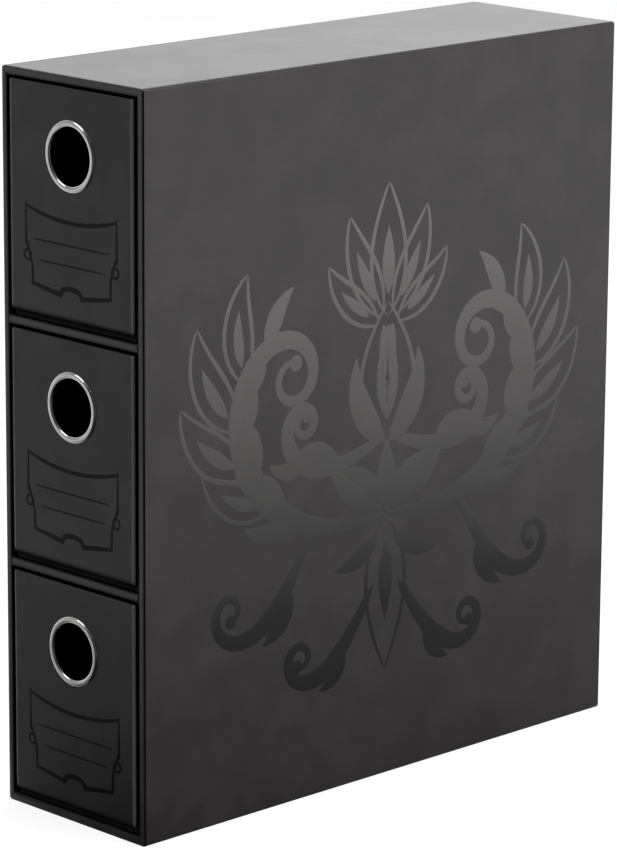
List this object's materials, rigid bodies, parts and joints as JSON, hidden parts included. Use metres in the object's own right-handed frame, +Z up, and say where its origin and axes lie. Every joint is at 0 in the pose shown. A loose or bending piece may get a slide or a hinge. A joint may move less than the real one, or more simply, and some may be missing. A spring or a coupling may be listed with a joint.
{
  "type": "trading card drawer box",
  "caption": "Tall covered-board case with stacked pull-out drawers for trading cards, each with a metal finger ring and a printed label frame.",
  "frame": {"origin": "middle of the base, on the surface that the box stands on", "axes": "+Z up, -Y towards the drawer fronts, +X to the right seen from the front"},
  "size_m": [0.0872, 0.2854, 0.32],
  "materials": {
    "case_cover": "matt soft-touch laminated paper, near black",
    "drawer_front": "matt soft-touch laminated paper, black, with a gloss printed label frame",
    "drawer_lining": "plain black lining paper",
    "ring_metal": "polished chrome",
    "washer_metal": "plain plated steel"
  },
  "bodies": {
    "case": {"case_left_board": "case_cover", "case_right_board": "case_cover", "case_top_board": "case_cover", "case_bottom_board": "case_cover", "case_back_board": "case_cover", "upper_shelf": "case_cover", "lower_shelf": "case_cover"},
    "bottom_drawer": {"bottom_drawer_base": "drawer_lining", "bottom_drawer_left_wall": "drawer_lining", "bottom_drawer_right_wall": "drawer_lining", "bottom_drawer_rear_wall": "drawer_lining", "bottom_drawer_front_wall": "drawer_lining", "bottom_drawer_fascia": "drawer_front", "bottom_drawer_finger_ring": "ring_metal", "bottom_drawer_ring_washer": "washer_metal"},
    "middle_drawer": {"middle_drawer_base": "drawer_lining", "middle_drawer_left_wall": "drawer_lining", "middle_drawer_right_wall": "drawer_lining", "middle_drawer_rear_wall": "drawer_lining", "middle_drawer_front_wall": "drawer_lining", "middle_drawer_fascia": "drawer_front", "middle_drawer_finger_ring": "ring_metal", "middle_drawer_ring_washer": "washer_metal"},
    "top_drawer": {"top_drawer_base": "drawer_lining", "top_drawer_left_wall": "drawer_lining", "top_drawer_right_wall": "drawer_lining", "top_drawer_rear_wall": "drawer_lining", "top_drawer_front_wall": "drawer_lining", "top_drawer_fascia": "drawer_front", "top_drawer_finger_ring": "ring_metal", "top_drawer_ring_washer": "washer_metal"}
  },
  "joints": [
    {"name": "bottom_drawer_slide", "type": "slide", "parent": "case", "child": "bottom_drawer", "axis": [0, -1, 0], "range_m": [0, 0.235]},
    {"name": "middle_drawer_slide", "type": "slide", "parent": "case", "child": "middle_drawer", "axis": [0, -1, 0], "range_m": [0, 0.235]},
    {"name": "top_drawer_slide", "type": "slide", "parent": "case", "child": "top_drawer", "axis": [0, -1, 0], "range_m": [0, 0.235]}
  ]
}
